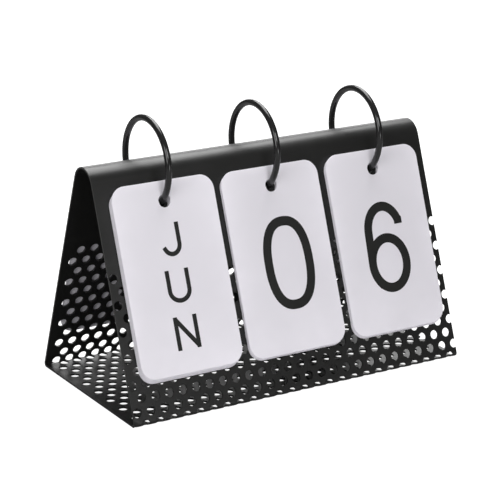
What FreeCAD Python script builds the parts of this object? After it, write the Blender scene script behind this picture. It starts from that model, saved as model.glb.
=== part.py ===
import FreeCAD, Part
import math
import os
import Sketcher
from FreeCAD import Placement, Rotation, Vector

# Perpetual desk calendar: a folded perforated sheet stand, three wire rings over its ridge,
# and three packs of cards (months, tens and units of the day) that hang on the rings.
# Frame: origin under the middle of the stand, X along the ridge, front towards -Y, Z up.

doc = FreeCAD.newDocument("desk_calendar")
sheet = doc.addObject("Spreadsheet::Sheet", "sizes")

SIZES = [
    # the folded sheet, outer sizes
    ("stand_width", 203.6),
    ("stand_depth", 106.0),
    ("lean_degrees", 20.0),
    ("sheet_thickness", 1.0),
    ("ridge_radius", 10.5),
    ("bottom_bend_radius", 1.8),
    # its perforation
    ("hole_diameter", 5.0),
    ("hole_pitch", 8.0),
    ("first_hole_inset", 3.0),
    ("perforation_height", 80.0),
    ("base_margin", 5.0),
    ("perforation_scale_share", 2.0),
    ("hole_sides_share", 6.0),
    ("wire_sides_share", 6.0),
    ("card_hole_sides_share", 8.0),
    ("ring_hole_sides_share", 8.0),
    ("ring_hole_diameter", 6.8),
    ("punch_overrun", 1.0),
    # the rings
    ("ring_radius", 23.5),
    ("wire_diameter", 3.3),
    ("ring_drop", 22.6),
    ("pack_gap", 5.4),
    ("ring_offset", 0.7),
    ("wire_play", 0.2),
    # the cards
    ("card_width", 60.0),
    ("card_height", 100.0),
    ("card_thickness", 0.45),
    ("card_corner_radius", 8.0),
    ("card_hole_diameter", 7.0),
    ("card_hole_inset", 10.5),
    ("card_gap", 0.12),
    ("panel_clearance", 0.35),
    ("flip_clearance", 0.35),
]
for line, (alias, value) in enumerate(SIZES, start=1):
    sheet.set("A%d" % line, alias.replace("_", " "))
    sheet.set("B%d" % line, str(value))
    sheet.setAlias("B%d" % line, alias)
doc.recompute()


def size(alias):
    """The value of one cell of the sheet of sizes."""
    return float(sheet.get(alias))


def bind(obj, **sizes):
    """Bind properties of an object to cells, or to sums of cells, of the sheet."""
    for name, text in sizes.items():
        words = text
        for alias, _ in sorted(SIZES, key=lambda row: -len(row[0])):
            words = words.replace(alias, "<" + str([row[0] for row in SIZES].index(alias)) + ">")
        for number, (alias, _) in enumerate(SIZES):
            words = words.replace("<%d>" % number, "sizes." + alias)
        obj.setExpression(name, words)


# Places that follow from the sizes

LEAN = math.radians(size("lean_degrees"))
HALF_DEPTH = size("stand_depth") / 2
SLOPE_LENGTH = HALF_DEPTH / math.sin(LEAN)
APEX_HEIGHT = HALF_DEPTH / math.tan(LEAN)
RIDGE_TANGENT = size("ridge_radius") / math.tan(LEAN)
RIDGE_CENTRE_HEIGHT = APEX_HEIGHT - size("ridge_radius") / math.sin(LEAN)
# the bottom bends close an inside angle of a right angle less the lean
BEND_TANGENT = size("bottom_bend_radius") / math.tan((math.pi / 2 - LEAN) / 2)
PANEL_FOOT = BEND_TANGENT
PANEL_TOP = SLOPE_LENGTH - RIDGE_TANGENT
RING_HEIGHT = APEX_HEIGHT - size("ring_drop")
# a clear gap stays between the cards of neighbouring rings
RING_SPACING = size("card_width") + size("pack_gap")
RING_PLACES = [size("ring_offset") + step * RING_SPACING for step in (-1, 0, 1)]
# how far the ring's centre lies inside each panel's outer face, and its foot up the slope
RING_DEPTH = size("ring_drop") * math.sin(LEAN)
RING_FOOT = SLOPE_LENGTH - size("ring_drop") * math.cos(LEAN)


def panel_frame(side):
    """A panel's own frame: X along the ridge, Y up its slope, Z out of its face."""
    turn = Rotation(Vector(0, 0, 1), 0 if side == "front" else 180)
    tilt = Rotation(Vector(1, 0, 0), 90 - size("lean_degrees"))
    foot = turn.multVec(Vector(0, -HALF_DEPTH, 0))
    return Placement(foot, turn.multiply(tilt))


def along(side, place):
    """A place along X, seen in a panel's own frame."""
    return place if side == "front" else -place


def crossing(height_over_face):
    """How far up the slope the ring's wire crosses a plane at a height over a panel's face."""
    reach = RING_DEPTH + height_over_face
    return RING_FOOT - math.sqrt(size("ring_radius") ** 2 - reach ** 2)


def slanted_wire(height_over_face, wall):
    """Half the height that a hole through a wall needs for the wire, which crosses it at a slant."""
    slant = math.asin((RING_DEPTH + height_over_face) / size("ring_radius"))
    return size("wire_diameter") / 2 / math.cos(slant) + wall / 2 * math.tan(slant)


# The folded sheet

def band_sketch(body, centre_y, centre_z, outer, inner, start, end):
    """A slice of the sheet's bend: an arc outside, an arc inside and two short edges."""
    plane = [f for f in body.Origin.OriginFeatures if f.Role == "YZ_Plane"][0]
    sketch = body.newObject("Sketcher::SketchObject", body.Name + "_profile")
    sketch.AttachmentSupport = [(plane, "")]
    sketch.MapMode = "FlatFace"
    centre = Vector(centre_y, centre_z, 0)

    def at(radius, angle):
        return centre + Vector(radius * math.cos(angle), radius * math.sin(angle), 0)

    normal = Vector(0, 0, 1)
    big = Part.ArcOfCircle(Part.Circle(centre, normal, outer), start, end)
    small = Part.ArcOfCircle(Part.Circle(centre, normal, inner), start, end)
    sketch.addGeometry(big, False)
    sketch.addGeometry(Part.LineSegment(at(outer, end), at(inner, end)), False)
    sketch.addGeometry(small, False)
    sketch.addGeometry(Part.LineSegment(at(inner, start), at(outer, start)), False)
    sketch.addConstraint(Sketcher.Constraint("Coincident", 0, 2, 1, 1))
    sketch.addConstraint(Sketcher.Constraint("Coincident", 1, 2, 2, 2))
    sketch.addConstraint(Sketcher.Constraint("Coincident", 2, 1, 3, 1))
    sketch.addConstraint(Sketcher.Constraint("Coincident", 3, 2, 0, 1))
    sketch.addConstraint(Sketcher.Constraint("Coincident", 0, 3, 2, 3))
    return sketch


def bend_body(label, centre_y, centre_z, radius_alias, start, end):
    """One bend of the sheet, padded over the stand's whole width."""
    body = doc.addObject("PartDesign::Body", label)
    body.Label = label
    radius = size(radius_alias)
    inner = radius - size("sheet_thickness")
    sketch = band_sketch(body, centre_y, centre_z, radius, inner, start, end)
    outer_size = sketch.addConstraint(Sketcher.Constraint("Radius", 0, radius))
    inner_size = sketch.addConstraint(Sketcher.Constraint("Radius", 2, inner))
    bind(sketch, **{"Constraints[%d]" % outer_size: radius_alias})
    bind(sketch, **{"Constraints[%d]" % inner_size: radius_alias + " - sheet_thickness"})
    pad = body.newObject("PartDesign::Pad", label + "_pad")
    pad.Profile = sketch
    pad.Midplane = True
    bind(pad, Length="stand_width")
    return body


def hole_tool(corner_radius, sides, depth, places):
    """Upright prisms at the given places, which punch the sheet's holes."""
    tools = []
    for place in places:
        corners = []
        for step in range(sides + 1):
            angle = 2 * math.pi * step / sides + math.pi / 2
            offset = Vector(math.cos(angle), math.sin(angle), 0) * corner_radius
            corners.append(place + offset)
        face = Part.Face(Part.makePolygon(corners))
        tools.append(face.extrude(Vector(0, 0, depth)))
    return tools


def lattice(low, high):
    """Staggered rows of hole centres between two heights, over the stand's width."""
    scale = size("perforation_scale_share")
    pitch = size("hole_pitch") * scale
    radius = size("hole_diameter") * scale / 2
    row_step = pitch * math.sin(math.pi / 3)
    left = -size("stand_width") / 2 + size("first_hole_inset") * scale
    rows = int((high - low - 2 * radius) // row_step) + 1
    spare = high - low - 2 * radius - (rows - 1) * row_step
    places = []
    for row in range(rows):
        start = left + (pitch / 2 if row % 2 else 0)
        count = int((size("stand_width") / 2 - radius - start) // pitch) + 1
        for column in range(count):
            height = low + spare / 2 + radius + row * row_step
            places.append(Vector(start + column * pitch, height, -size("punch_overrun")))
    return places


def area_true(radius, sides):
    """The corner radius of a polygon that has the area of a round hole."""
    return radius * math.sqrt(2 * math.pi / (sides * math.sin(2 * math.pi / sides)))


def punches(label, side, low, high):
    """Every hole of one panel as one tool: the perforation and the three ring holes."""
    depth = size("sheet_thickness") + 2 * size("punch_overrun")
    sides = int(size("hole_sides_share"))
    corner = area_true(size("hole_diameter") * size("perforation_scale_share") / 2, sides)
    tools = hole_tool(corner, sides, depth, lattice(low, high))
    if side:
        radius = size("ring_hole_diameter") / 2
        middle = -size("sheet_thickness") / 2
        # the wire rests near the hole's lower edge
        rest = radius - slanted_wire(middle, size("sheet_thickness")) - size("wire_play")
        height = crossing(middle) + rest
        spots = [Vector(along(side, place), height, -size("punch_overrun")) for place in RING_PLACES]
        # the flats touch the round hole that they stand for
        sides = int(size("ring_hole_sides_share"))
        tools += hole_tool(radius / math.cos(math.pi / sides), sides, depth, spots)
    tool = doc.addObject("Part::Feature", label + "_punches")
    tool.Shape = Part.makeCompound(tools)
    return tool


def panel(label, side):
    """A leaning panel of the sheet: a plate from bend to ridge, punched."""
    plate = doc.addObject("Part::Box", label + "_plate")
    foot = "bottom_bend_radius / tan(45 - lean_degrees / 2)"
    slope = "stand_depth / 2 / sin(lean_degrees)"
    bind(plate, Length="stand_width", Height="sheet_thickness")
    bind(plate, Width=slope + " - ridge_radius / tan(lean_degrees) - " + foot)
    plate.Placement = Placement(Vector(-size("stand_width") / 2, PANEL_FOOT, 0), Rotation())
    tool = punches(label, side, PANEL_FOOT, size("perforation_height"))
    cut = doc.addObject("Part::Cut", label)
    cut.Label = label
    cut.Base = plate
    cut.Tool = tool
    sink = Placement(Vector(0, 0, -size("sheet_thickness")), Rotation())
    cut.Placement = panel_frame(side).multiply(sink)
    return cut


def base(label):
    """The flat base of the sheet between its two bottom bends, punched."""
    plate = doc.addObject("Part::Box", label + "_plate")
    bind(plate, Length="stand_width", Height="sheet_thickness")
    bind(plate, Width="stand_depth - 2 * bottom_bend_radius / tan(45 - lean_degrees / 2)")
    corner = Vector(-size("stand_width") / 2, BEND_TANGENT - HALF_DEPTH, 0)
    plate.Placement = Placement(corner, Rotation())
    reach = HALF_DEPTH - BEND_TANGENT - size("base_margin")
    tool = punches(label, None, -reach, reach)
    cut = doc.addObject("Part::Cut", label)
    cut.Label = label
    cut.Base = plate
    cut.Tool = tool
    return cut


parts = []
parts.append(panel("front_panel", "front"))
parts.append(panel("back_panel", "back"))
parts.append(base("base_panel"))
parts.append(bend_body("ridge_fold", 0, RIDGE_CENTRE_HEIGHT, "ridge_radius", LEAN, math.pi - LEAN))
BEND_CENTRE = HALF_DEPTH - BEND_TANGENT
parts.append(bend_body("front_edge_bend", -BEND_CENTRE, size("bottom_bend_radius"),
                       "bottom_bend_radius", math.pi - LEAN, 3 * math.pi / 2))
parts.append(bend_body("back_edge_bend", BEND_CENTRE, size("bottom_bend_radius"),
                       "bottom_bend_radius", -math.pi / 2, LEAN))


# The rings

def ring(label, place):
    """A bent wire ring, upright across the ridge."""
    section = doc.addObject("Part::RegularPolygon", label + "_section")
    bind(section, Polygon="wire_sides_share", Circumradius="wire_diameter / 2")
    section.Placement = Placement(Vector(place, size("ring_radius"), RING_HEIGHT), Rotation())
    turned = doc.addObject("Part::Revolution", label)
    turned.Label = label
    turned.Source = section
    turned.Base = Vector(place, 0, RING_HEIGHT)
    turned.Axis = Vector(1, 0, 0)
    turned.Solid = True
    return turned


for label, place in zip(("left_ring", "middle_ring", "right_ring"), RING_PLACES):
    parts.append(ring(label, place))


# The cards

def card_sketch(body):
    """A card's outline, a rectangle, seen from the middle of the ring's hole."""
    plane = [f for f in body.Origin.OriginFeatures if f.Role == "XY_Plane"][0]
    sketch = body.newObject("Sketcher::SketchObject", body.Name + "_outline")
    sketch.AttachmentSupport = [(plane, "")]
    sketch.MapMode = "FlatFace"
    half = size("card_width") / 2
    top = size("card_hole_inset")
    bottom = top - size("card_height")
    corners = [Vector(-half, bottom, 0), Vector(half, bottom, 0)]
    corners += [Vector(half, top, 0), Vector(-half, top, 0)]
    for start, end in zip(corners, corners[1:] + corners[:1]):
        sketch.addGeometry(Part.LineSegment(start, end), False)
    for edge in range(4):
        sketch.addConstraint(Sketcher.Constraint("Coincident", edge, 2, (edge + 1) % 4, 1))
    # the top edge is level because it is symmetric about the hole's axis
    for edge, kind in ((0, "Horizontal"), (1, "Vertical"), (3, "Vertical")):
        sketch.addConstraint(Sketcher.Constraint(kind, edge))
    sketch.addConstraint(Sketcher.Constraint("Symmetric", 2, 1, 2, 2, -2))
    wide = sketch.addConstraint(Sketcher.Constraint("Distance", 0, size("card_width")))
    tall = sketch.addConstraint(Sketcher.Constraint("Distance", 1, size("card_height")))
    over = sketch.addConstraint(Sketcher.Constraint("DistanceY", -1, 1, 2, 1, top))
    bind(sketch, **{"Constraints[%d]" % wide: "card_width"})
    bind(sketch, **{"Constraints[%d]" % tall: "card_height"})
    bind(sketch, **{"Constraints[%d]" % over: "card_hole_inset"})
    return sketch


def trim(body, solid, suffix, words):
    """Cut off the upright edges of a card's solid, by a length given in words."""
    doc.recompute()
    upright = []
    for number, edge in enumerate(solid.Shape.Edges, start=1):
        if abs(edge.Vertexes[0].Z - edge.Vertexes[-1].Z) > size("card_thickness") / 2:
            upright.append("Edge%d" % number)
    cut = body.newObject("PartDesign::Chamfer", body.Name + suffix)
    cut.Base = (solid, upright)
    bind(cut, Size=words)
    body.Tip = cut
    return cut


def card_lift(level, shown):
    """The height of a card's inner face over the panel's face; the shown card lies free."""
    pile = size("card_thickness") + size("card_gap")
    extra = size("flip_clearance") - size("card_gap") if shown else 0
    return size("panel_clearance") + level * pile + extra


def card(label, side, place, level, shown):
    """A card that hangs on its ring, at its level in the pack: 0 lies next to the panel."""
    body = doc.addObject("PartDesign::Body", label + "_sheet")
    sketch = card_sketch(body)
    pad = body.newObject("PartDesign::Pad", label + "_pad")
    pad.Profile = sketch
    bind(pad, Length="card_thickness")
    # two cuts turn each corner into three flats that touch its round
    cut = trim(body, pad, "_corners", "card_corner_radius * (2 - sqrt(2))")
    trim(body, cut, "_round_corners", "card_corner_radius * (tan(22.5) - tan(11.25))")
    # the hole's flats lie on the round hole's circle, and a corner points up to the wire
    punch = doc.addObject("Part::Prism", label + "_punch")
    bind(punch, Polygon="card_hole_sides_share", Height="card_thickness + 2 * punch_overrun")
    bind(punch, Circumradius="card_hole_diameter / 2 / cos(180 / card_hole_sides_share)")
    punch.Placement = Placement(Vector(0, 0, -size("punch_overrun")), Rotation())
    holed = doc.addObject("Part::Cut", label)
    holed.Label = label
    holed.Base = body
    holed.Tool = punch
    lift = card_lift(level, shown)
    middle = lift + size("card_thickness") / 2
    # the hole hangs on the wire by its upper edge
    wire = slanted_wire(middle, size("card_thickness"))
    hang = size("card_hole_diameter") / 2 - wire - size("wire_play")
    slope = crossing(middle) - hang
    spot = Placement(Vector(along(side, place), slope, lift), Rotation())
    holed.Placement = panel_frame(side).multiply(spot)
    return holed


MONTHS = ["jan", "feb", "mar", "apr", "may", "jun", "jul", "aug", "sep", "oct", "nov", "dec"]
# each pack: its names, the card that it shows and its ring's place
PACKS = [
    ("month_card_", MONTHS, "jun", RING_PLACES[0]),
    ("tens_card_", list("0123"), "0", RING_PLACES[1]),
    ("units_card_", list("0123456789"), "6", RING_PLACES[2]),
]
for stem, names, shown, place in PACKS:
    front = names[names.index(shown):]
    back = names[:names.index(shown)]
    for level, name in enumerate(reversed(front)):
        parts.append(card(stem + name, "front", place, level, name == shown))
    for level, name in enumerate(back):
        parts.append(card(stem + name, "back", place, level, False))

doc.recompute()

for obj in doc.Objects:
    if "Invalid" in obj.State or "Error" in obj.State:
        raise RuntimeError(obj.Name + " did not build: " + str(obj.State))
for obj in parts:
    shape = obj.Shape
    if shape.isNull() or not shape.isValid() or len(shape.Solids) != 1:
        raise RuntimeError(obj.Label + " is not one valid solid")

os.makedirs("parts", exist_ok=True)
for obj in parts:
    obj.Shape.exportStep("parts/" + obj.Label + ".step")
    print(obj.Label, "volume", round(obj.Shape.Volume, 2))


def joint_angles(front_level, back_level):
    """The turns that carry a card over: of its ring, and of the card on the wire."""
    half_card = size("card_thickness") / 2
    front_reach = RING_DEPTH + card_lift(front_level, True) + half_card
    back_reach = RING_DEPTH + card_lift(back_level, True) + half_card
    front_angle = 180 - size("lean_degrees") + math.degrees(math.acos(front_reach / size("ring_radius")))
    back_angle = size("lean_degrees") - math.degrees(math.acos(back_reach / size("ring_radius")))
    ring_turn = front_angle - back_angle
    whole_turn = math.degrees(2 * math.pi) - 2 * size("lean_degrees")
    return front_angle, ring_turn, whole_turn - ring_turn


for stem, names, shown, place in PACKS:
    turned_over = names.index(shown)
    under_shown = len(names) - turned_over - 1
    front_angle, ring_turn, card_turn = joint_angles(under_shown, turned_over)
    print(stem, "ring at", place, RING_HEIGHT, "ring turn", ring_turn, "card turn", card_turn)
    wire_y = size("ring_radius") * math.cos(math.radians(front_angle))
    wire_z = RING_HEIGHT + size("ring_radius") * math.sin(math.radians(front_angle))
    print("  wire in the front card at", wire_y, wire_z)
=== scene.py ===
import math

import bpy
import numpy as np
from bpy.props import FloatProperty, FloatVectorProperty, IntProperty, PointerProperty
from mathutils import Matrix, Vector


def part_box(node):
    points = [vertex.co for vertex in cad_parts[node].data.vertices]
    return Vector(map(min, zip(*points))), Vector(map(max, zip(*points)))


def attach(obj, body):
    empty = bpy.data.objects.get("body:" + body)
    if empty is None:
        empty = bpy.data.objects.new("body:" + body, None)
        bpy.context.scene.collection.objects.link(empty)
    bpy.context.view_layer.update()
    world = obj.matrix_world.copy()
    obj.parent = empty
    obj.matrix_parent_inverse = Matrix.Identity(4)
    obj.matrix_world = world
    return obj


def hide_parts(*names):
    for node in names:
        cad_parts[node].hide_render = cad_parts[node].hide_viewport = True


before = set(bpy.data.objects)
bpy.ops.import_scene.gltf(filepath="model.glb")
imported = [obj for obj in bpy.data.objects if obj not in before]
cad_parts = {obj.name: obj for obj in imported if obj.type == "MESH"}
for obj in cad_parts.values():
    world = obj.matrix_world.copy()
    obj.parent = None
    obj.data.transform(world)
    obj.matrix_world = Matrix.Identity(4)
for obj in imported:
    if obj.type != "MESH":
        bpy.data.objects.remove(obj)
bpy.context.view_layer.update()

bl_info = {
    "name": "Perpetual desk calendar",
    "version": (1, 0, 0),
    "blender": (4, 5, 0),
    "location": "3D View > Sidebar > Desk calendar",
    "description": "A folded perforated stand with wire rings and printed flip cards",
    "category": "Object",
}


# The sizes and colours that a user would change

def length(name, description, default):
    """A length in metres that the sidebar shows with its unit."""
    return FloatProperty(name=name, description=description, default=default,
                         min=0.0, precision=5, unit="LENGTH")


def angle(name, description, default):
    """An angle, given here in degrees."""
    return FloatProperty(name=name, description=description,
                         default=math.radians(default), subtype="ANGLE", precision=3)


def power(name, description, default, unit="POWER"):
    """A light's power in watts, or a plain brightness."""
    return FloatProperty(name=name, description=description, default=default, min=0.0,
                         unit=unit)


def colour(name, description, default):
    """A linear colour."""
    return FloatVectorProperty(name=name, description=description, default=default,
                               size=3, min=0.0, max=1.0, subtype="COLOR")


class SheetSettings(bpy.types.PropertyGroup):
    """The folded sheet: its fold and its punched lattice."""
    width: length("Width", "Length of the ridge", 0.2036)
    depth: length("Depth", "Front to back between the outer corners", 0.106)
    thickness: length("Thickness", "Of the steel and its coat", 0.001)
    lean: angle("Lean", "Of both panels, from upright", 20.0)
    ridge_radius: length("Ridge radius", "Outside of the ridge fold", 0.0105)
    bend_radius: length("Bend radius", "Outside of the bottom bends", 0.0018)
    hole_diameter: length("Hole diameter", "Of the punched lattice", 0.005)
    hole_pitch: length("Hole pitch", "Along a row; the rows are staggered", 0.008)
    first_hole: length("First hole", "Left edge to the first hole of an odd row", 0.0028)
    front_plain: length("Plain end, front", "No hole centre is nearer to the left edge", 0.002)
    plain: length("Plain end", "The same, for the base and the back", 0.0045)
    first_row: length("First row", "Front corner to one step under the lowest row", 0.00094)
    base_row: length("First base row", "Front corner to the first row of the base", 0.00535)
    back_row: length("First back row", "Back corner to the first row of the back", 0.00814)
    ring_hole: length("Ring hole", "Diameter of the holes for the rings", 0.0068)
    ring_hole_height: length("Ring hole height", "Up the slope from the corner", 0.11267)
    hole_segments: IntProperty(name="Hole segments", description="Corners of one round hole",
                               default=24, min=12, max=48, step=12)
    coat: colour("Coat", "Black powder coat", (0.009, 0.009, 0.0086))


class RingSettings(bpy.types.PropertyGroup):
    """The three wire rings."""
    radius: length("Ring radius", "To the middle of the wire", 0.0235)
    wire: length("Wire", "Diameter of the coated wire", 0.0035)
    gap: length("Gap", "Between the ends of the wire, inside the stand", 0.0005)
    coat: colour("Coat", "Satin black coat", (0.010, 0.010, 0.010))


class CardSettings(bpy.types.PropertyGroup):
    """The cards and what is printed on them."""
    width: length("Width", "Of a card", 0.060)
    height: length("Height", "Of a card", 0.100)
    thickness: length("Thickness", "Of a card", 0.00045)
    corner: length("Corner radius", "Of a card", 0.008)
    hole: length("Hole", "Diameter of the punched hole", 0.007)
    hole_inset: length("Hole inset", "Top edge to the middle of the hole", 0.0105)
    face: colour("Face", "Matte off-white sheet", (0.765, 0.742, 0.795))
    ink: colour("Ink", "Dark grey print", (0.009, 0.009, 0.0086))
    letter_stroke: length("Letter stroke", "Width of a letter's stroke", 0.0024)
    figure_stroke: length("Figure stroke", "Width of a figure's stroke", 0.0051)
    ink_height: length("Ink height", "How far the print stands on the card", 0.00003)


class StageSettings(bpy.types.PropertyGroup):
    """The plain stage: camera, light and floor."""
    azimuth: angle("Azimuth", "Camera's turn from straight in front", -31.415)
    elevation: angle("Elevation", "Camera's height over the floor", 17.772)
    roll: angle("Roll", "Camera's roll", 0.193)
    distance: length("Distance", "Camera to target", 1.1101)
    target_across: length("Target across", "Along the ridge", -0.00159)
    target_height: length("Target height", "Over the floor", 0.064772)
    focal_share: FloatProperty(name="Focal share", description="Focal length over picture side",
                               default=2041.7 / 500, min=0.1)
    floor: colour("Floor", "Pale floor", (0.35, 0.35, 0.35))
    ambient: power("Ambient", "Brightness of the studio round the object", 0.10, "NONE")
    key: power("Key light", "From the front", 2.95)
    ridge: power("Ridge light", "High behind, for the line along the ridge", 10.5)
    fill: power("Fill light", "From the left front", 3.4)
    sweep: power("Sweep light", "Behind on the right, mirrored in the base's inner face", 3.3)
    low: power("Low light", "Low in front, mirrored in the front's lower end", 0.6)


SETTINGS = {
    "calendar_sheet": SheetSettings,
    "calendar_rings": RingSettings,
    "calendar_cards": CardSettings,
    "calendar_stage": StageSettings,
}


# Meshes from whole arrays

# Points nearer to each other than this, in metres, count as one
SAME = 1e-7


def put_mesh(name, points, face_sets, smooth_angle=40.0, marks=None):
    """A new mesh object from points (n, 3) and arrays of faces (m, corners).
    Edges sharper than smooth_angle degrees stay sharp; marks go in as point attributes."""
    mesh = bpy.data.meshes.new(name)
    mesh.vertices.add(len(points))
    mesh.vertices.foreach_set("co", np.ascontiguousarray(points, np.float32).ravel())
    corners = np.concatenate([faces.ravel() for faces in face_sets]).astype(np.int32)
    counts = np.concatenate([np.full(len(faces), faces.shape[1]) for faces in face_sets])
    starts = (np.cumsum(counts) - counts).astype(np.int32)
    mesh.loops.add(len(corners))
    mesh.loops.foreach_set("vertex_index", corners)
    mesh.polygons.add(len(counts))
    mesh.polygons.foreach_set("loop_start", starts)
    mesh.polygons.foreach_set("use_smooth", np.ones(len(counts), bool))
    for mark, values in (marks or {}).items():
        attribute = mesh.attributes.new(mark, "FLOAT", "POINT")
        attribute.data.foreach_set("value", np.ascontiguousarray(values, np.float32))
    mesh.update(calc_edges=True)
    if mesh.validate():
        raise RuntimeError(name + " has faces that Blender had to mend")
    mesh.set_sharp_from_angle(angle=math.radians(smooth_angle))
    obj = bpy.data.objects.new(name, mesh)
    bpy.context.scene.collection.objects.link(obj)
    return obj


def put_piece(obj, body, slot, material, *nodes):
    """Give a finished piece its material and its body, and hide the nodes it stands for; the slot
    is not used.
    """
    obj.data.materials.append(material)
    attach(obj, body)
    if nodes:
        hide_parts(*nodes)
    return obj


def weld(points, face_sets):
    """Merge points that are the same, and drop faces that this closes up.
    Returns the numbers of the points that stay, and the faces on them."""
    keys = np.round(points / SAME).astype(np.int64)
    _, stay, same = np.unique(keys, axis=0, return_index=True, return_inverse=True)
    same = same.ravel()
    points = points[stay]
    kept = []
    for faces in face_sets:
        if faces.shape[1] == 4:
            low, high = same[faces[:, [0, 1, 2]]], same[faces[:, [0, 2, 3]]]
            flat_low, flat_high = is_flat(points, low), is_flat(points, high)
            kept.append(same[faces[~flat_low & ~flat_high]])
            kept.append(low[~flat_low & flat_high])
            kept.append(high[flat_low & ~flat_high])
        else:
            faces = same[faces]
            kept.append(faces[~is_flat(points, faces)])
    by_corners = [np.concatenate([faces for faces in kept if faces.shape[1] == corners])
                  for corners in sorted({faces.shape[1] for faces in kept})]
    return stay, [lone(faces) for faces in by_corners]


def lone(faces):
    """Faces that no other face lies on: two that share all corners cancel each other."""
    _, same, count = np.unique(np.sort(faces, axis=1), axis=0, return_inverse=True,
                               return_counts=True)
    return faces[count[same.ravel()] == 1]


def is_flat(points, triangles, no_area=1e-11):
    """Which triangles have no area: the cross product of two sides is nearly nothing."""
    a, b, c = points[triangles[:, 0]], points[triangles[:, 1]], points[triangles[:, 2]]
    return np.linalg.norm(np.cross(b - a, c - a), axis=1) < no_area


def border(face_sets):
    """Edges (from, to) that only one face uses, in that face's own direction."""
    edges = np.concatenate([
        np.stack([faces, np.roll(faces, -1, axis=1)], axis=-1).reshape(-1, 2)
        for faces in face_sets
    ]).astype(np.int64)
    size = edges.max() + 1
    forward = edges[:, 0] * size + edges[:, 1]
    backward = edges[:, 1] * size + edges[:, 0]
    return edges[~np.isin(forward, backward)]


def shell(points, inner, face_sets):
    """A closed wall: the outer faces, the same faces turned round on the inner points,
    and one four-sided face along each border edge. The last value marks the border's
    points on both sides."""
    count = len(points)
    rim = border(face_sets)
    walls = np.stack([rim[:, 1], rim[:, 0], rim[:, 0] + count, rim[:, 1] + count], axis=1)
    inside = [faces[:, ::-1] + count for faces in face_sets]
    rim_mark = np.zeros(2 * count)
    rim_mark[np.unique(rim)] = 1
    rim_mark[np.unique(rim) + count] = 1
    return np.vstack([points, inner]), list(face_sets) + inside + [walls], rim_mark


def between_loops(outer, inner, closed=True):
    """Four-sided faces between two rows of points with the same count."""
    if closed:
        return np.stack([inner, outer, np.roll(outer, -1), np.roll(inner, -1)], axis=1)
    return np.stack([inner[:-1], outer[:-1], outer[1:], inner[1:]], axis=1)


# The folded sheet

class Fold:
    """The sheet's outline seen from the end, as six stretches along the sheet: the front
    panel from the ridge down, a bend, the base, a bend, the back panel and the ridge.
    The outward direction turns evenly through each bend and stays put on each flat."""

    def __init__(self, sheet):
        lean, half = sheet.lean, sheet.depth / 2
        self.top = half / math.sin(lean) - sheet.ridge_radius / math.tan(lean)
        self.foot = sheet.bend_radius / math.tan(math.pi / 4 - lean / 2)
        bend = math.pi / 2 + lean
        self.radii = np.array([0, sheet.bend_radius, 0, sheet.bend_radius, 0, sheet.ridge_radius])
        turns = np.array([0, bend, 0, bend, 0, math.pi - 2 * lean])
        panel = self.top - self.foot
        flats = np.array([panel, 0, sheet.depth - 2 * self.foot, 0, panel, 0])
        self.marks = np.concatenate([[0], np.cumsum(flats + self.radii * turns)])
        self.angles = math.pi - lean + np.concatenate([[0], np.cumsum(turns)])
        start = np.array([self.top * math.sin(lean) - half, self.top * math.cos(lean)])
        out, run = self.directions(self.angles)
        steps = self.radii[:, None] * (out[1:] - out[:-1]) + flats[:, None] * run[:-1]
        self.corners = start + np.vstack([np.zeros(2), np.cumsum(steps, axis=0)])

    @staticmethod
    def directions(angles):
        """Outward, and along the sheet, for the outward direction's angle."""
        out = np.stack([np.cos(angles), np.sin(angles)], axis=-1)
        run = np.stack([-np.sin(angles), np.cos(angles)], axis=-1)
        return out, run

    def place(self, along):
        """Points across the sheet's end, and outward directions, for lengths along it:
        corner + radius x (direction now - direction at the corner), or corner + length
        x running direction on a flat."""
        along = np.mod(along, self.marks[-1])
        last = len(self.radii) - 1
        stretch = np.clip(np.searchsorted(self.marks, along, side="right") - 1, 0, last)
        angles = np.interp(along, self.marks, self.angles)
        out, _ = self.directions(angles)
        first_out, first_run = self.directions(self.angles[stretch])
        radius = self.radii[stretch][..., None]
        gone = (along - self.marks[stretch])[..., None]
        flat = np.where(radius == 0, gone * first_run, 0)
        return self.corners[stretch] + radius * (out - first_out) + flat, out

    def up_front(self, height):
        """Length along the sheet at a height up the front's slope."""
        return self.top - height

    def over_base(self, from_front):
        """Length along the sheet at a distance behind the front corner."""
        return self.marks[2] + from_front - self.foot

    def up_back(self, height):
        """Length along the sheet at a height up the back's slope."""
        return self.marks[4] + height - self.foot


# Rows on the front, the base and the back; those on the panels count the plain top row
FRONT_ROWS, BASE_ROWS, BACK_ROWS = 12, 15, 12

# How far the one row at each bend lies past the front bend's start and the back bend's end
FRONT_BEND_ROW, BACK_BEND_ROW = 0.0012, 0.0002


def row_step(sheet):
    """The step from row to row: the holes stand in even triangles."""
    return sheet.hole_pitch * math.sin(math.pi / 3)


def lattice_rows(sheet, fold):
    """Lengths along the sheet of the lattice's rows, from a plain row over the front's
    top row to a plain row over the back's: even steps on the flats, one row in each bend."""
    step = row_step(sheet)
    front = fold.up_front(sheet.first_row + step * np.arange(FRONT_ROWS, 0, -1))
    front_bend = fold.marks[1] + FRONT_BEND_ROW
    base = fold.over_base(sheet.base_row + step * np.arange(BASE_ROWS))
    back_bend = fold.marks[4] + BACK_BEND_ROW
    back = fold.up_back(sheet.back_row + step * np.arange(BACK_ROWS))
    return np.concatenate([front, [front_bend], base, [back_bend], back])


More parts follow.
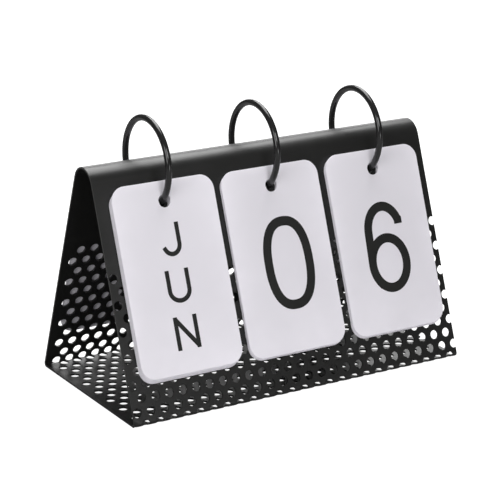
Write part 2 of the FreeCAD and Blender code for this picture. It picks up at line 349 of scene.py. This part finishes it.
def lattice_cells(sheet, fold):
    """The punched lattice. Rays leave each hole's centre at even angles. Each meets the
    hole's circle at its radius and the cell's hexagon at half the pitch over the cosine
    of the ray's angle from the nearest side. Past the sheet's ends they stop at the end."""
    rows = lattice_rows(sheet, fold)
    step = row_step(sheet)
    rays = np.arange(sheet.hole_segments) * (2 * math.pi / sheet.hole_segments)
    from_side = np.mod(rays + math.pi / 6, math.pi / 3) - math.pi / 6
    reach = sheet.hole_pitch / 2 / np.cos(from_side)
    columns = np.arange(-1, int(sheet.width / sheet.hole_pitch) + 3)
    row, column = np.meshgrid(np.arange(len(rows)), columns, indexing="ij")
    shift = np.where(row % 2 == 0, sheet.hole_pitch / 2, 0)
    across = sheet.first_hole - sheet.width / 2 + shift + column * sheet.hole_pitch
    near = np.abs(across) < sheet.width / 2 + sheet.hole_pitch / 2 - SAME
    row, across = row[near], across[near]
    end = sheet.width / 2
    hexagon_across = np.clip(across[:, None] + reach * np.cos(rays), -end, end)
    hexagon_row = np.clip(row[:, None] - reach * np.sin(rays) / step, 0, len(rows) - 1)
    hexagon = np.stack([hexagon_across, np.interp(hexagon_row, np.arange(len(rows)), rows)], -1)
    radius = sheet.hole_diameter / 2
    circle_across = np.clip(across[:, None] + radius * np.cos(rays), -end, end)
    circle = np.stack([circle_across, rows[row][:, None] - radius * np.sin(rays)], -1)
    on_front = rows[row] < fold.marks[2]
    plain_end = np.where(on_front, sheet.front_plain, sheet.plain)
    punched = (row > 0) & (row < len(rows) - 1) & (across + end > plain_end)
    centre = np.stack([np.clip(across, -end, end), rows[row]], -1)
    return hexagon, circle, centre, punched, rows


def lattice_faces(hexagon, circle, centre, punched):
    """Flat points and faces of the cells: faces from hexagon to circle round each hole,
    then a fan round the centre of each plain cell."""
    segments = hexagon.shape[1]
    ring = np.arange(segments)
    holed = np.concatenate([hexagon[punched], circle[punched]], axis=1)
    first = (np.arange(len(holed)) * 2 * segments)[:, None, None]
    round_holes = first + between_loops(ring, ring + segments)[None]
    plain = np.concatenate([hexagon[~punched], centre[~punched][:, None]], axis=1)
    first = (np.arange(len(plain)) * (segments + 1))[:, None, None] + holed.size // 2
    fan = np.stack([np.full(segments, segments), ring, np.roll(ring, -1)], axis=1)
    flats = [holed.reshape(-1, 2), plain.reshape(-1, 2)]
    return flats, [round_holes.reshape(-1, 4), (first + fan[None]).reshape(-1, 3)]


def sheet_surface(sheet, fold):
    """The sheet's outer surface as flat points (across, along) and faces: lattice cells,
    then a grid over the plain top of the back, the ridge and the plain top of the front,
    with a square round each ring hole left out and filled from its border to the hole."""
    hexagon, circle, centre, punched, rows = lattice_cells(sheet, fold)
    flats, faces = lattice_faces(hexagon, circle, centre, punched)
    count = sum(len(flat) for flat in flats)

    plain = flats[1]
    top_line = np.abs(plain[:, 1] - rows[0]) < SAME
    columns = np.unique(np.round(plain[top_line, 0], 8))
    lap = fold.marks[6]
    front_hole = lap + fold.up_front(sheet.ring_hole_height)
    back_hole = fold.up_back(sheet.ring_hole_height)
    grid_step, margin_lines, ridge_lines, clear = 0.003, 5, 33, 0.001
    around = grid_step * np.arange(-2, 3)
    back_margin = np.linspace(rows[-1], back_hole + around[0], margin_lines)
    front_margin = np.linspace(front_hole + around[-1], lap + rows[0], margin_lines)
    along = np.concatenate([
        back_margin[:-1], back_hole + around, np.linspace(fold.marks[5], lap, ridge_lines),
        front_hole + around, front_margin[1:],
    ])
    grid = np.stack(np.meshgrid(columns, along, indexing="xy"), -1)
    number = np.arange(grid.shape[0] * grid.shape[1]).reshape(grid.shape[:2]) + count
    quads = np.stack([number[1:, :-1], number[1:, 1:], number[:-1, 1:], number[:-1, :-1]], -1)
    keep = np.ones(quads.shape[:2], bool)
    flats.append(grid.reshape(-1, 2))
    count += number.size
    radius = sheet.ring_hole / 2
    for middle in (back_hole, front_hole):
        low = int(np.argmin(np.abs(along - (middle + around[0]))))
        high = low + len(around) - 1
        for place in ring_places():
            left = int(np.searchsorted(columns, place - radius - clear)) - 1
            right = int(np.searchsorted(columns, place + radius + clear))
            keep[low:high, left:right] = False
            loop = np.concatenate([
                number[high, left:right], number[high:low:-1, right],
                number[low, right:left:-1], number[low:high, left],
            ])
            square = grid.reshape(-1, 2)[loop - number[0, 0]]
            away = square - (place, middle)
            circle = (place, middle) + radius * away / np.linalg.norm(away, axis=1)[:, None]
            flats.append(circle)
            faces.append(between_loops(loop, np.arange(len(loop)) + count))
            count += len(loop)
    faces.append(quads[keep].reshape(-1, 4))
    return np.concatenate(flats), faces


RINGS = ("left_ring", "middle_ring", "right_ring")


def ring_places():
    """Where the rings stand along the ridge, read from the frame."""
    boxes = [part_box(node) for node in RINGS]
    return [(low.x + high.x) / 2 for low, high in boxes]


def ring_height():
    """The height of the rings' centres, read from the frame."""
    low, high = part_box("left_ring")
    return (low.z + high.z) / 2


class CALENDAR_OT_folded_sheet(bpy.types.Operator):
    """Build the folded perforated sheet: one wall carried along the fold's outline"""
    bl_idname = "calendar.folded_sheet"
    bl_label = "Folded sheet"

    def execute(self, context):
        sheet = context.scene.calendar_sheet
        fold = Fold(sheet)
        flat, faces = sheet_surface(sheet, fold)
        end, out = fold.place(flat[:, 1])
        outer = np.column_stack([flat[:, 0], end])
        away = np.column_stack([np.zeros(len(out)), out])
        stay, faces = weld(outer, faces)
        inner = outer[stay] - sheet.thickness * away[stay]
        points, faces, rim = shell(outer[stay], inner, faces)
        # The rim mark carries the coat's painted highlight along the punched edges and the
        # sheet's ends.
        obj = put_mesh("stand_sheet", points, faces, marks={"rim": rim})
        put_piece(obj, "stand", "stand_black", powder_coat(sheet.coat),
                  "front_panel", "back_panel", "base_panel", "ridge_fold",
                  "front_edge_bend", "back_edge_bend")
        return {"FINISHED"}


# The rings

class CALENDAR_OT_wire_rings(bpy.types.Operator):
    """Build the three wire rings: a circle carried round a circle, with the wire's ends
    a little apart at the bottom, where the stand hides them"""
    bl_idname = "calendar.wire_rings"
    bl_label = "Wire rings"

    def execute(self, context):
        rings = context.scene.calendar_rings
        coat = wire_coat(rings.coat)
        for name, place in zip(RINGS, ring_places()):
            points, faces = wire_ring(rings, place, ring_height())
            obj = put_mesh(name + "_wire", points, faces, smooth_angle=50.0)
            put_piece(obj, name + "_body", "ring_black", coat, name)
        return {"FINISHED"}


def wire_ring(rings, place, height, turns=168, sides=24):
    """Points at ring radius + wire radius x cosine out from the centre and wire radius x
    sine along the ridge. Each end is a smaller circle and a middle point."""
    end_length_share, end_size_share = 0.28, 0.72
    wire = rings.wire / 2
    start = rings.gap / 2 / rings.radius
    inset = end_length_share * wire / rings.radius
    around = np.linspace(start + inset, 2 * math.pi - start - inset, turns) - math.pi / 2
    around = np.concatenate([[around[0] - inset], around, [around[-1] + inset]])
    shrink = np.concatenate([[end_size_share], np.ones(turns), [end_size_share]])
    section = np.linspace(0, 2 * math.pi, sides, endpoint=False)
    out = rings.radius + wire * shrink[:, None] * np.cos(section)
    side = wire * shrink[:, None] * np.sin(section)
    points = np.stack([
        place + side,
        out * np.cos(around)[:, None],
        height + out * np.sin(around)[:, None],
    ], -1)
    number = np.arange(points.shape[0] * sides).reshape(points.shape[0], sides)
    beside = np.roll(number, -1, axis=1)
    walls = np.stack([number[:-1], beside[:-1], beside[1:], number[1:]], -1).reshape(-1, 4)
    ends = []
    points = points.reshape(-1, 3)
    for loop, turn in ((number[0], around[0]), (number[-1], around[-1])):
        middle = np.array([[place, rings.radius * math.cos(turn),
                            height + rings.radius * math.sin(turn)]])
        fan = np.stack([np.full(sides, len(points)), loop, np.roll(loop, -1)], -1)
        points = np.vstack([points, middle])
        ends.append(fan if loop[0] else fan[:, ::-1])
    return points, [walls] + ends


# The cards

# The packs: the stem of their nodes' names, the names, and the one on top at the front
MONTHS = ("jan", "feb", "mar", "apr", "may", "jun", "jul", "aug", "sep", "oct", "nov", "dec")
PACKS = (
    ("month_card_", MONTHS, "jun"),
    ("tens_card_", tuple("0123"), "0"),
    ("units_card_", tuple("0123456789"), "6"),
)


def card_seats():
    """For each card: its node, stem, name, body and the place of its own axes at rest.
    The axes are across, up the slope and out of the card's face, and they start at the
    middle of its hole, which comes from the box of its node: the box's middle is the
    middle of the card."""
    lean = bpy.context.scene.calendar_sheet.lean
    cards = bpy.context.scene.calendar_cards
    seats = []
    for stem, names, shown in PACKS:
        for name in names:
            node = stem + name
            low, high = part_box(node)
            body = stem + "shown" if name == shown else "stand"
            side = 1 if low.y + high.y < 0 else -1
            across = Vector((side, 0, 0))
            up = Vector((0, side * math.sin(lean), math.cos(lean)))
            out = across.cross(up)
            seat = Matrix((across, up, out)).transposed().to_4x4()
            middle = (low + high) / 2
            seat.translation = middle + up * (cards.height / 2 - cards.hole_inset)
            seats.append((node, stem, name, body, np.array(seat)))
    return seats


def seated(points, seat):
    """Points on a card's own axes, carried to its seat."""
    return points @ seat[:3, :3].T + seat[:3, 3]


def round_outline(half_width, low, high, radius, per_corner):
    """A rectangle's outline with round corners: each corner's middle plus the radius
    times a turning direction, corner after corner, from the right side round."""
    turn = np.linspace(0, math.pi / 2, per_corner)
    corners = [(half_width - radius, high - radius, 0), (radius - half_width, high - radius, 1),
               (radius - half_width, low + radius, 2), (half_width - radius, low + radius, 3)]
    pieces = [
        np.column_stack([x + radius * np.cos(turn + quarter * math.pi / 2),
                         y + radius * np.sin(turn + quarter * math.pi / 2)])
        for x, y, quarter in corners
    ]
    return np.concatenate(pieces)


def card_sheet(cards):
    """A card: its outline and its hole, each as four loops that step in by a small
    bevel at both faces, and faces from loop to loop. The hole's loops follow the
    outline's loops point for point, at turns between the outline's own and even ones."""
    bevel, per_corner, follow_share = 0.00007, 13, 0.35
    half = cards.thickness / 2
    low, high = cards.hole_inset - cards.height, cards.hole_inset
    levels = ((bevel, half), (0, half - bevel), (0, bevel - half), (bevel, -half))
    loops = []
    for inset, level in levels:
        edge = round_outline(cards.width / 2 - inset, low + inset, high - inset,
                             cards.corner - inset, per_corner)
        loops.append(np.column_stack([edge, np.full(len(edge), level)]))
    count = len(loops[0])
    middle = loops[1][:, :2]
    turn = np.unwrap(np.arctan2(middle[:, 1], middle[:, 0]))
    even = turn[0] + np.arange(count) * 2 * math.pi / count
    turn = follow_share * turn + (1 - follow_share) * even
    for inset, level in levels:
        radius = cards.hole / 2 + inset
        loops.append(np.column_stack([radius * np.cos(turn), radius * np.sin(turn),
                                      np.full(count, level)]))
    number = np.arange(len(loops) * count).reshape(-1, count)
    order = (0, 4), (1, 0), (2, 1), (3, 2), (7, 3), (6, 7), (5, 6), (4, 5)
    faces = [between_loops(number[a], number[b]) for a, b in order]
    # The outline's points carry the rim mark, where the card's finish paints a highlight.
    rim = np.zeros(number.size)
    rim[number[:len(levels)].ravel()] = 1
    return np.concatenate(loops), faces, rim


class CALENDAR_OT_cards(bpy.types.Operator):
    """Build every card of the three packs on its ring"""
    bl_idname = "calendar.cards"
    bl_label = "Cards"

    def execute(self, context):
        cards = context.scene.calendar_cards
        material = card_plastic(cards.face)
        points, faces, rim = card_sheet(cards)
        for node, _, _, body, seat in card_seats():
            obj = put_mesh(node + "_sheet", seated(points, seat), faces, marks={"rim": rim})
            put_piece(obj, body, "card_white", material, node)
        return {"FINISHED"}


# The printed characters: the middle lines of plain strokes in a box one wide and one high

def line(*places):
    """Straight runs through the given places."""
    return np.array(places, float).reshape(-1, 2)


def arc(x, y, across, up, start, end, power=2.0, count=28):
    """Part of a round, or of a fuller round for a power over two: each of cosine and
    sine is raised to two over the power and keeps its sign."""
    turn = np.radians(np.linspace(start, end, count))
    c, s = np.cos(turn), np.sin(turn)
    return np.column_stack([
        x + across * np.sign(c) * np.abs(c) ** (2 / power),
        y + up * np.sign(s) * np.abs(s) ** (2 / power),
    ])


def run(*pieces):
    """Several pieces as one stroke, in their order."""
    return np.concatenate(pieces)


def glyph(name):
    """The middle lines of one letter's or figure's strokes. A 9 is a 6 upside down."""
    strokes = {
        "A": [line(0, 0, .49, .98), line(1, 0, .51, .98), line(.2, .33, .8, .33)],
        "B": [run(line(0, 0, 0, 1), arc(.55, .76, .38, .24, 90, -90), line(.1, .52)),
              run(line(0, .52), arc(.6, .26, .4, .26, 90, -90), line(0, 0))],
        "C": [run(arc(.5, .68, .5, .32, 25, 180), arc(.5, .32, .5, .32, 180, 335))],
        "D": [run(line(0, 0, 0, 1), arc(.4, .6, .6, .4, 90, 0), arc(.4, .4, .6, .4, 0, -90),
                  line(0, 0))],
        "E": [line(1, 1, 0, 1, 0, 0, 1, 0), line(0, .52, .86, .52)],
        "F": [line(1, 1, 0, 1, 0, 0), line(0, .5, .84, .5)],
        "G": [run(arc(.5, .68, .5, .32, 25, 180), arc(.5, .32, .5, .32, 180, 360),
                  line(1, .48, .55, .48))],
        "J": [run(line(1, 1), arc(.5, .34, .5, .34, 360, 206))],
        "L": [line(0, 1, 0, 0, 1, 0)],
        "M": [line(0, 0, 0, 1), line(.07, .93, .5, .3, .93, .93), line(1, 1, 1, 0)],
        "N": [line(0, 0, 0, 1), line(.07, .94, .93, .06), line(1, 0, 1, 1)],
        "O": [run(arc(.5, .68, .5, .32, 0, 180), arc(.5, .32, .5, .32, 180, 360), line(1, .68))],
        "P": [run(line(0, 0, 0, 1), arc(.58, .74, .42, .26, 90, -90), line(0, .48))],
        "R": [run(line(0, 0, 0, 1), arc(.58, .74, .4, .26, 90, -90), line(0, .48)),
              line(.55, .48, 1, 0)],
        "S": [run(arc(.5, .75, .46, .25, 35, 250), arc(.5, .25, .5, .26, 75, -145))],
        "T": [line(0, 1, 1, 1), line(.5, 1, .5, 0)],
        "U": [run(line(0, 1, 0, .36), arc(.5, .36, .5, .36, 180, 360), line(1, 1))],
        "V": [line(0, 1, .49, .02), line(1, 1, .51, .02)],
        "Y": [line(0, 1, .5, .48, 1, 1), line(.5, .48, .5, 0)],
        "0": [arc(.5, .5, .5, .5, 0, 360, 2.4, 97)],
        "1": [line(.75, 1, .75, 0), line(-.12, .85, .64, .965)],
        "2": [run(arc(.5, .72, .48, .28, 165, -20), line(0, 0, 1, 0))],
        "3": [run(arc(.46, .755, .44, .245, 150, -80), line(.4, .51)),
              run(line(.4, .51), arc(.46, .25, .5, .26, 80, -150))],
        "4": [line(.76, 0, .76, 1), line(.72, .95, 0, .28, 1, .28)],
        "5": [line(.92, 1, .14, 1, .09, .6), arc(.45, .32, .52, .32, 128, -150)],
        "6": [run(line(.945, .816, .945, .818), arc(.505, .69, .475, .31, 26, 180),
                  arc(.5, .305, .5, .305, 180, 225)),
              arc(.5, .305, .5, .305, 0, 360, 2.0, 73)],
        "7": [line(0, 1, 1, 1, .34, 0)],
        "8": [arc(.5, .76, .42, .24, 0, 360, 2.0, 61), arc(.5, .26, .5, .26, 0, 360, 2.0, 61)],
    }
    if name == "9":
        return [1 - stroke for stroke in glyph("6")]
    return strokes[name]


def stroke_solid(path, width, low, high, lift):
    """A stroke of even width along a path of points: two borders half the width to each
    side, set off by the mitre of the neighbouring runs, a top, a bottom, sides and ends.
    Open ends run on by half the width."""
    apart = np.linalg.norm(np.diff(path, axis=0), axis=1) > SAME
    path = path[np.concatenate([[True], apart])]
    closed = np.linalg.norm(path[0] - path[-1]) < SAME
    if closed:
        path = path[:-1]
    else:
        for end, beside in ((0, 1), (-1, -2)):
            run_on = path[end] - path[beside]
            path[end] += run_on / np.linalg.norm(run_on) * width / 2
    after = np.roll(path, -1, axis=0) - path
    before = path - np.roll(path, 1, axis=0)
    if not closed:
        after[-1], before[0] = before[-1], after[0]
    after /= np.linalg.norm(after, axis=1)[:, None]
    before /= np.linalg.norm(before, axis=1)[:, None]
    normal = np.column_stack([-(after + before)[:, 1], (after + before)[:, 0]])
    normal /= np.linalg.norm(normal, axis=1)[:, None]
    side = np.column_stack([-after[:, 1], after[:, 0]])
    longest_mitre = 4
    mitre = np.clip(1 / np.abs((normal * side).sum(axis=1)), 1, longest_mitre)
    offset = normal * (mitre * width / 2)[:, None]
    count = len(path)
    left, right = path + offset, path - offset
    points = np.concatenate([
        np.column_stack([border_line, np.full(count, level)])
        for level in (high + lift, low) for border_line in (left, right)
    ])
    number = np.arange(4 * count).reshape(4, count)
    faces = [between_loops(number[a], number[b], closed)
             for a, b in ((1, 0), (3, 1), (2, 3), (0, 2))]
    if not closed:
        faces.append(number[[[0, 1, 3, 2]], 0])
        faces.append(number[[[2, 3, 1, 0]], -1])
    return points, faces


# For each pack: the width and height of a full character, how far right of the hole its
# middle stands, and how far under the hole's middle each character's top lies
PRINT_PLACES = {
    "month_card_": (0.0138, 0.0174, -0.0004, (0.0116, 0.03585, 0.0601)),
    "tens_card_": (0.0302, 0.0500, 0.0027, (0.0172,)),
    "units_card_": (0.0302, 0.0500, 0.0004, (0.0187,)),
}

# The shares of the full width that characters take; other letters take all of it
WIDTH_SHARES = {"J": 0.84, "L": 0.8, "E": 0.84, "F": 0.84, "1": 0.45,
                **dict.fromkeys("2356789", 0.9)}


def print_solid(text, cards, stem):
    """The print of one card: a month's letters under each other, or one tall figure.
    Each stroke stands a hair higher than the one before, so that no two tops meet."""
    root, hair = 0.00001, 0.000004
    width, height, middle, tops = PRINT_PLACES[stem]
    stroke = cards.letter_stroke if len(tops) > 1 else cards.figure_stroke
    surface = cards.thickness / 2
    points, faces, count, lift = [], [], 0, 0.0
    for letter, top in zip(text.upper(), tops):
        wide = width * WIDTH_SHARES.get(letter, 1.0) - stroke
        tall = height - stroke
        for path in glyph(letter):
            path = path * (wide, tall) + (middle - wide / 2, -top - height + stroke / 2)
            solid, sides = stroke_solid(path, stroke, surface - root,
                                        surface + cards.ink_height, lift)
            points.append(solid)
            faces += [side + count for side in sides]
            count += len(solid)
            lift += hair
    return np.concatenate(points), faces


class CALENDAR_OT_print(bpy.types.Operator):
    """Print each card: three letters or one figure as thin raised strokes"""
    bl_idname = "calendar.print"
    bl_label = "Printed characters"

    def execute(self, context):
        cards = context.scene.calendar_cards
        material = card_ink(cards.ink)
        for node, stem, name, body, seat in card_seats():
            points, faces = print_solid(name, cards, stem)
            obj = put_mesh(node + "_print", seated(points, seat), faces)
            put_piece(obj, body, "card_white", material)
        return {"FINISHED"}


# Finishes

def new_group(name, inputs, outputs):
    """An empty shader node group with named value inputs and outputs."""
    group = bpy.data.node_groups.new(name, "ShaderNodeTree")
    for label, kind, value in inputs:
        socket = group.interface.new_socket(name=label, in_out="INPUT", socket_type=kind)
        if value is not None:
            socket.default_value = value
    for label, kind in outputs:
        group.interface.new_socket(name=label, in_out="OUTPUT", socket_type=kind)
    source = group.nodes.new("NodeGroupInput")
    sink = group.nodes.new("NodeGroupOutput")
    return group, source, sink


def node(tree, kind, values=None, **settings):
    """A new node with settings, and values or links on its named inputs."""
    made = tree.nodes.new(kind)
    for name, value in settings.items():
        setattr(made, name, value)
    for name, value in (values or {}).items():
        socket = made.inputs[name]
        if isinstance(value, bpy.types.NodeSocket):
            tree.links.new(value, socket)
        else:
            socket.default_value = value
    return made


def grain_group():
    """Fine grain of a coat or a sheet: two noises added, one fine and one coarse."""
    if "fine_grain" in bpy.data.node_groups:
        return bpy.data.node_groups["fine_grain"]
    group, source, sink = new_group(
        "fine_grain",
        [("Place", "NodeSocketVector", None), ("Fine", "NodeSocketFloat", 2500.0),
         ("Coarse", "NodeSocketFloat", 60.0), ("Mix", "NodeSocketFloat", 0.35)],
        [("Height", "NodeSocketFloat"), ("Patches", "NodeSocketFloat")])
    place = source.outputs["Place"]
    fine = node(group, "ShaderNodeTexNoise", {"Vector": place, "Scale": source.outputs["Fine"],
                                              "Detail": 2.0, "Roughness": 0.6})
    coarse = node(group, "ShaderNodeTexNoise", {"Vector": place,
                                                "Scale": source.outputs["Coarse"],
                                                "Detail": 3.0, "Roughness": 0.55})
    mixed = node(group, "ShaderNodeMix", {"Factor": source.outputs["Mix"],
                                          "A": fine.outputs["Fac"],
                                          "B": coarse.outputs["Fac"]})
    group.links.new(mixed.outputs["Result"], sink.inputs["Height"])
    group.links.new(coarse.outputs["Fac"], sink.inputs["Patches"])
    return group


def rim_group(sharpness=3.0):
    """How strong the painted highlight along an edge is: the piece's rim mark, broken up by its
    grain.
    """
    if "rim_wear" in bpy.data.node_groups:
        return bpy.data.node_groups["rim_wear"]
    group, source, sink = new_group(
        "rim_wear",
        [("Rim", "NodeSocketFloat", 0.0), ("Patches", "NodeSocketFloat", 0.5),
         ("Amount", "NodeSocketFloat", 0.3)],
        [("Mask", "NodeSocketFloat")])
    sharp = node(group, "ShaderNodeMath", {0: source.outputs["Rim"], 1: sharpness},
                 operation="POWER")
    broken = node(group, "ShaderNodeMath", {0: sharp.outputs[0], 1: source.outputs["Patches"]},
                  operation="MULTIPLY")
    scaled = node(group, "ShaderNodeMath", {0: broken.outputs[0], 1: source.outputs["Amount"]},
                  operation="MULTIPLY", use_clamp=True)
    group.links.new(scaled.outputs[0], sink.inputs["Mask"])
    return group


def lighter(colour, factor, rest):
    """A lighter colour: each part times a factor, and a little more."""
    return tuple(min(1, factor * part + rest) for part in colour)


def finish(name, colour, light_colour, roughness, spread, grain, bump, bump_height,
           rim_highlight_amount=0.0, patch_amount=0.25, specular=0.5):
    """A coated or sheet finish: a base colour that lightens a little in patches, and at rims
    as a painted highlight, roughness that varies with the patches, and a fine bumped grain."""
    material = bpy.data.materials.new(name)
    material.use_nodes = True
    tree = material.node_tree
    shader = tree.nodes["Principled BSDF"]
    where = node(tree, "ShaderNodeTexCoord")
    grained = node(tree, "ShaderNodeGroup", node_tree=grain_group())
    tree.links.new(where.outputs["Object"], grained.inputs["Place"])
    for key, value in grain.items():
        grained.inputs[key].default_value = value
    patches = grained.outputs["Patches"]
    mask = patches
    # Along the rim mark the colour moves toward the lighter colour: a painted highlight.
    if rim_highlight_amount:
        rim = node(tree, "ShaderNodeAttribute", attribute_name="rim")
        rim_highlight = node(tree, "ShaderNodeGroup", node_tree=rim_group())
        tree.links.new(rim.outputs["Fac"], rim_highlight.inputs["Rim"])
        tree.links.new(patches, rim_highlight.inputs["Patches"])
        rim_highlight.inputs["Amount"].default_value = rim_highlight_amount
        faint = node(tree, "ShaderNodeMath", {0: patches, 1: patch_amount},
                     operation="MULTIPLY")
        mask = node(tree, "ShaderNodeMath", {0: faint.outputs[0], 1: rim_highlight.outputs["Mask"]},
                    operation="ADD", use_clamp=True).outputs[0]
    blend = node(tree, "ShaderNodeMix", {"Factor": mask}, data_type="RGBA")
    blend.inputs["A"].default_value = (*colour, 1)
    blend.inputs["B"].default_value = (*light_colour, 1)
    tree.links.new(blend.outputs["Result"], shader.inputs["Base Color"])
    uneven = node(tree, "ShaderNodeMapRange", {"Value": patches, "From Min": 0.3,
                                               "From Max": 0.7, "To Min": roughness - spread,
                                               "To Max": roughness + spread})
    tree.links.new(uneven.outputs["Result"], shader.inputs["Roughness"])
    raised = node(tree, "ShaderNodeBump", {"Strength": bump, "Distance": bump_height,
                                           "Height": grained.outputs["Height"]})
    tree.links.new(raised.outputs["Normal"], shader.inputs["Normal"])
    shader.inputs["Specular IOR Level"].default_value = specular
    return material


def powder_coat(colour):
    """Matte black powder coat with a fine pebbled grain and a painted highlight at its punched
    edges and ends.
    """
    return finish("black_powder_coat", colour, lighter(colour, 2.2, 0.004),
                  roughness=0.36, spread=0.03, bump=0.22, bump_height=0.00006,
                  grain={"Fine": 2600.0, "Coarse": 45.0, "Mix": 0.2}, rim_highlight_amount=0.35)


def wire_coat(colour):
    """Satin black coat on wire, smooth, with faint unevenness."""
    return finish("satin_black_wire", colour, lighter(colour, 1.8, 0.003),
                  roughness=0.13, spread=0.03, bump=0.08, bump_height=0.00003,
                  grain={"Fine": 1400.0, "Coarse": 120.0, "Mix": 0.5})


def card_plastic(colour):
    """Matte off-white plastic sheet with a faint tooth, and a painted highlight that lightens it
    at its edges.
    """
    return finish("card_plastic", colour, lighter(colour, 1.22, 0.01),
                  roughness=0.48, spread=0.03, bump=0.05, bump_height=0.00002,
                  grain={"Fine": 3200.0, "Coarse": 30.0, "Mix": 0.15}, rim_highlight_amount=0.9)


def card_ink(colour):
    """Dark grey ink, with the sheet's tooth showing through."""
    return finish("dark_grey_ink", colour, lighter(colour, 1.5, 0.004),
                  roughness=0.5, spread=0.04, bump=0.05, bump_height=0.00002,
                  grain={"Fine": 3200.0, "Coarse": 90.0, "Mix": 0.2}, specular=0.3)


# The stage

def camera_sees(tree, seen, lit_by):
    """One shader for what the camera sees and another for what lights the scene."""
    path = node(tree, "ShaderNodeLightPath")
    return node(tree, "ShaderNodeMixShader", {0: path.outputs["Is Camera Ray"], 1: lit_by,
                                              2: seen}).outputs[0]


def pale_floor(colour, roughness=0.9, glow=0.9):
    """A pale floor that the camera sees lit almost to white, and that lights the object
    only with what falls on it."""
    material = bpy.data.materials.new("pale_floor")
    material.use_nodes = True
    tree = material.node_tree
    shader = tree.nodes["Principled BSDF"]
    shader.inputs["Base Color"].default_value = (*colour, 1)
    shader.inputs["Roughness"].default_value = roughness
    white = node(tree, "ShaderNodeEmission", {"Color": (1, 1, 1, 1), "Strength": glow})
    bright = node(tree, "ShaderNodeAddShader", {0: shader.outputs[0], 1: white.outputs[0]})
    surface = camera_sees(tree, bright.outputs[0], shader.outputs[0])
    tree.links.new(surface, tree.nodes["Material Output"].inputs["Surface"])
    return material


# The studio's lights: where each stands, what it is turned to, and its two sides
AIM = (0.0, 0.0, 0.07)
LIGHTS = {
    "key": ((-0.12, -0.84, 0.58), AIM, (0.34, 0.34)),
    "ridge": ((0.18, 0.28, 0.86), (0.0, 0.0, 0.12), (0.6, 0.9)),
    "fill": ((-0.78, -0.50, 0.40), AIM, (0.5, 0.5)),
    "low": ((0.08, -0.86, 0.08), AIM, (0.36, 0.14)),
    "sweep": ((0.73, 1.03, 0.40), (0.06, 0.0, 0.02), (0.9, 0.5)),
}


def area_light(name, place, target, sides, watts):
    """A soft rectangular light at a place, turned to a target."""
    light = bpy.data.lights.new(name, "AREA")
    light.shape = "RECTANGLE"
    light.size, light.size_y = sides
    light.energy = watts
    obj = bpy.data.objects.new(name, light)
    away = Vector(place) - Vector(target)
    obj.location = place
    obj.rotation_euler = away.to_track_quat("Z", "Y").to_euler()
    bpy.context.scene.collection.objects.link(obj)


def studio_world(ambient):
    """A plain studio: an even light on the object, and white where the camera looks."""
    world = bpy.data.worlds.new("studio")
    world.use_nodes = True
    tree = world.node_tree
    dim = tree.nodes["Background"]
    dim.inputs["Color"].default_value = (1, 1, 1, 1)
    dim.inputs["Strength"].default_value = ambient
    white = node(tree, "ShaderNodeBackground", {"Color": (1, 1, 1, 1), "Strength": 1.0})
    surface = camera_sees(tree, white.outputs[0], dim.outputs[0])
    tree.links.new(surface, tree.nodes["World Output"].inputs["Surface"])
    return world


def place_camera(stage, sensor=36.0):
    """The camera, looking back at its target along the line given by turn and rise."""
    camera = bpy.data.cameras.new("camera")
    camera.sensor_width = camera.sensor_height = sensor
    camera.lens = stage.focal_share * sensor
    camera.clip_start, camera.clip_end = 0.05, 20.0
    turn, rise, roll = stage.azimuth, stage.elevation, stage.roll
    back = Vector((math.sin(turn) * math.cos(rise), -math.cos(turn) * math.cos(rise),
                   math.sin(rise)))
    right = Vector((math.cos(turn), math.sin(turn), 0))
    up = back.cross(right)
    right, up = (right * math.cos(roll) + up * math.sin(roll),
                 up * math.cos(roll) - right * math.sin(roll))
    target = Vector((stage.target_across, 0, stage.target_height))
    pose = Matrix((right, up, back)).transposed().to_4x4()
    pose.translation = target + back * stage.distance
    obj = bpy.data.objects.new("camera", camera)
    obj.matrix_world = pose
    bpy.context.scene.collection.objects.link(obj)
    return obj


class CALENDAR_OT_stage(bpy.types.Operator):
    """Set the stage: a plain pale floor, soft studio light and the camera"""
    bl_idname = "calendar.stage"
    bl_label = "Stage"

    def execute(self, context):
        scene = context.scene
        stage = scene.calendar_stage
        far, drop = 4.0, 0.00005
        corners = np.array([(-far, -far, -drop), (far, -far, -drop), (far, far, -drop),
                            (-far, far, -drop)])
        floor = put_mesh("floor", corners, [np.array([[0, 1, 2, 3]])])
        floor.data.materials.append(pale_floor(stage.floor))
        scene.world = studio_world(stage.ambient)
        for name, (place, target, sides) in LIGHTS.items():
            area_light(name, place, target, sides, getattr(stage, name))
        scene.camera = place_camera(stage)
        scene.view_settings.view_transform = "Standard"
        return {"FINISHED"}


# The sidebar, and running the whole build

PIECES = (CALENDAR_OT_folded_sheet, CALENDAR_OT_wire_rings, CALENDAR_OT_cards,
          CALENDAR_OT_print, CALENDAR_OT_stage)


class CALENDAR_PT_build(bpy.types.Panel):
    """Lists the steps and sizes of the calendar in the 3D view's sidebar"""
    bl_idname = "CALENDAR_PT_build"
    bl_label = "Desk calendar"
    bl_space_type = "VIEW_3D"
    bl_region_type = "UI"
    bl_category = "Desk calendar"

    def draw(self, context):
        for piece in PIECES:
            self.layout.operator(piece.bl_idname)
        for name, group in SETTINGS.items():
            box = self.layout.box()
            for label in group.__annotations__:
                box.prop(getattr(context.scene, name), label)


def register():
    for group in SETTINGS.values():
        bpy.utils.register_class(group)
    for name, group in SETTINGS.items():
        setattr(bpy.types.Scene, name, PointerProperty(type=group))
    for made in PIECES + (CALENDAR_PT_build,):
        bpy.utils.register_class(made)


def unregister():
    for made in (CALENDAR_PT_build,) + PIECES:
        bpy.utils.unregister_class(made)
    for name in SETTINGS:
        delattr(bpy.types.Scene, name)
    for group in SETTINGS.values():
        bpy.utils.unregister_class(group)


def main():
    register()
    bpy.ops.calendar.folded_sheet()
    bpy.ops.calendar.wire_rings()
    bpy.ops.calendar.cards()
    bpy.ops.calendar.print()
    bpy.ops.calendar.stage()


if __name__ == "__main__":
    main()
